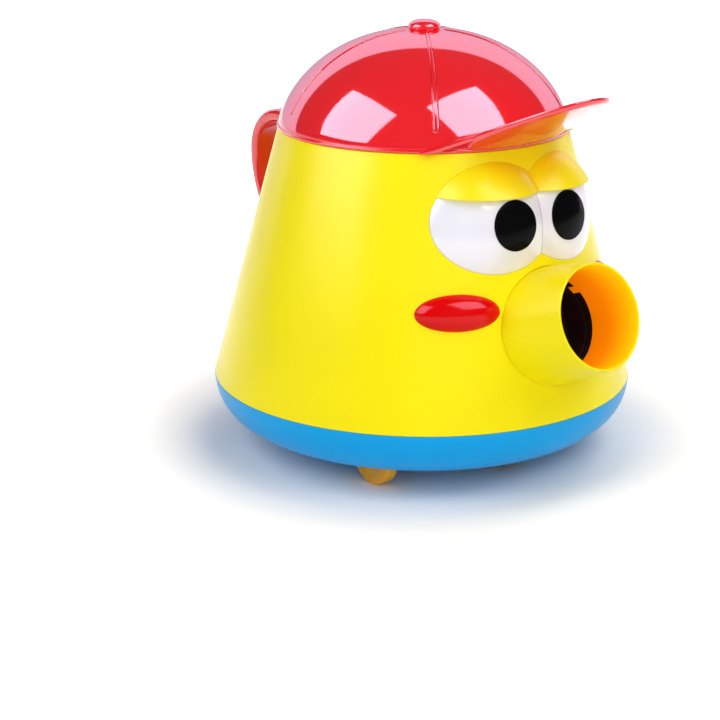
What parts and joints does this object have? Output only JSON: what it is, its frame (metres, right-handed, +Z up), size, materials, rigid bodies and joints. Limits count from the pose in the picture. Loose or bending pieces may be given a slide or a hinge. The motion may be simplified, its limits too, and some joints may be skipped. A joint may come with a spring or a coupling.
{
  "type": "toy ball launcher",
  "caption": "Battery toy that rolls on the floor and fires small balls from a tilted spout, with a cap-shaped hopper lid, a round base tray and a carry handle.",
  "frame": {"origin": "on the floor under the middle of the base tray, where the body's axis meets the floor", "axes": "+Z up; -Y towards the spout, which is the front; +X to the toy's own left"},
  "size_m": [0.22, 0.2742, 0.2233],
  "materials": {
    "tray_blue": "moulded, glossy",
    "body_yellow": "moulded, glossy",
    "cap_red": "moulded, high gloss",
    "eye_white": "moulded, glossy",
    "pupil_black": "printed, glossy",
    "inner_black": "moulded, matt",
    "frame_grey": "moulded, matt",
    "gear_white": "moulded acetal",
    "steel": "plated",
    "brass": "turned",
    "tyre_yellow": "moulded, satin",
    "cell": "plain sleeve",
    "board_green": "solder mask"
  },
  "bodies": {
    "chassis": {"base_tray": "tray_blue", "body_shell": "body_yellow", "spout": "body_yellow", "brow_hood": "body_yellow", "left_eye": "eye_white", "right_eye": "eye_white", "left_pupil": "pupil_black", "right_pupil": "pupil_black", "left_cheek": "cap_red", "right_cheek": "cap_red", "handle": "cap_red", "handle_screws": "steel", "hopper": "body_yellow", "launch_tube": "inner_black", "left_launch_frame": "frame_grey", "right_launch_frame": "frame_grey", "frame_screws": "steel", "launch_motor": "steel", "cap_hinge_pin": "steel", "plunger_spring": "steel", "launch_idler_shaft": "steel", "left_gearbox": "frame_grey", "right_gearbox": "frame_grey", "drive_motor": "steel", "drive_idler_shaft": "steel", "battery_door": "tray_blue", "battery_door_screw": "steel", "batteries": "cell", "battery_contacts": "steel", "switch_body": "inner_black", "circuit_board": "board_green", "speaker": "inner_black", "base_screws": "steel"},
    "cap": {"cap_dome": "cap_red", "cap_visor": "cap_red", "cap_button": "cap_red"},
    "plunger": {"plunger": "cap_red"},
    "sector": {"sector_gear": "gear_white", "sector_shaft": "steel"},
    "launch_idler": {"launch_idler": "gear_white"},
    "launch_rotor": {"launch_pinion": "brass", "launch_motor_shaft": "steel"},
    "drive_axle": {"drive_axle": "steel", "axle_gear": "gear_white", "left_wheel": "body_yellow", "right_wheel": "body_yellow", "left_tyre": "tyre_yellow", "right_tyre": "tyre_yellow"},
    "drive_idler": {"drive_idler": "gear_white"},
    "drive_rotor": {"drive_pinion": "brass", "drive_motor_shaft": "steel"},
    "caster_fork": {"caster_fork": "frame_grey", "caster_pin": "steel"},
    "caster_wheel": {"caster_wheel": "body_yellow"},
    "power_switch": {"switch_knob": "inner_black"}
  },
  "joints": [
    {"name": "cap_hinge", "type": "hinge", "parent": "chassis", "child": "cap", "pos_m": [0, 0.08115, 0.17], "axis": [-1, 0, 0], "range_deg": [0, 100]},
    {"name": "sector_turn", "type": "hinge", "parent": "chassis", "child": "sector", "pos_m": [0, 0.01213, 0.06241], "axis": [1, 0, 0], "range_deg": [0, 128.34]},
    {"name": "plunger_slide", "type": "slide", "parent": "chassis", "child": "plunger", "axis": [0, 0.9367, -0.3502], "range_m": [0, 0.028], "stiffness_N_per_m": 120, "springref_m": -0.012, "deforming": ["plunger_spring"]},
    {"name": "launch_idler_turn", "type": "hinge", "parent": "chassis", "child": "launch_idler", "pos_m": [0, 0.02739, 0.07592], "axis": [1, 0, 0], "continuous": true},
    {"name": "launch_rotor_turn", "type": "hinge", "parent": "chassis", "child": "launch_rotor", "pos_m": [0, 0.04147, 0.0758], "axis": [1, 0, 0], "continuous": true},
    {"name": "drive_axle_turn", "type": "hinge", "parent": "chassis", "child": "drive_axle", "pos_m": [0, -0.042, 0.014], "axis": [1, 0, 0], "continuous": true},
    {"name": "drive_idler_turn", "type": "hinge", "parent": "chassis", "child": "drive_idler", "pos_m": [0, -0.05181, 0.02087], "axis": [1, 0, 0], "continuous": true},
    {"name": "drive_rotor_turn", "type": "hinge", "parent": "chassis", "child": "drive_rotor", "pos_m": [0, -0.06541, 0.02452], "axis": [1, 0, 0], "continuous": true},
    {"name": "caster_swivel", "type": "hinge", "parent": "chassis", "child": "caster_fork", "pos_m": [0, 0.069, 0], "axis": [0, 0, 1], "continuous": true},
    {"name": "caster_roll", "type": "hinge", "parent": "caster_fork", "child": "caster_wheel", "pos_m": [0, 0.075, 0.009], "axis": [1, 0, 0], "continuous": true},
    {"name": "power_switch_slide", "type": "slide", "parent": "chassis", "child": "power_switch", "axis": [0, 1, 0], "range_m": [0, 0.005]}
  ],
  "couplings": [
    {"joint": "sector_turn", "follows": "plunger_slide", "rad_per_m": 80},
    {"joint": "launch_idler_turn", "follows": "plunger_slide", "rad_per_m": -251.43},
    {"joint": "launch_rotor_turn", "follows": "plunger_slide", "rad_per_m": 466.94},
    {"joint": "drive_idler_turn", "follows": "drive_axle_turn", "ratio": -1.4286},
    {"joint": "drive_rotor_turn", "follows": "drive_axle_turn", "ratio": 2.6531}
  ]
}
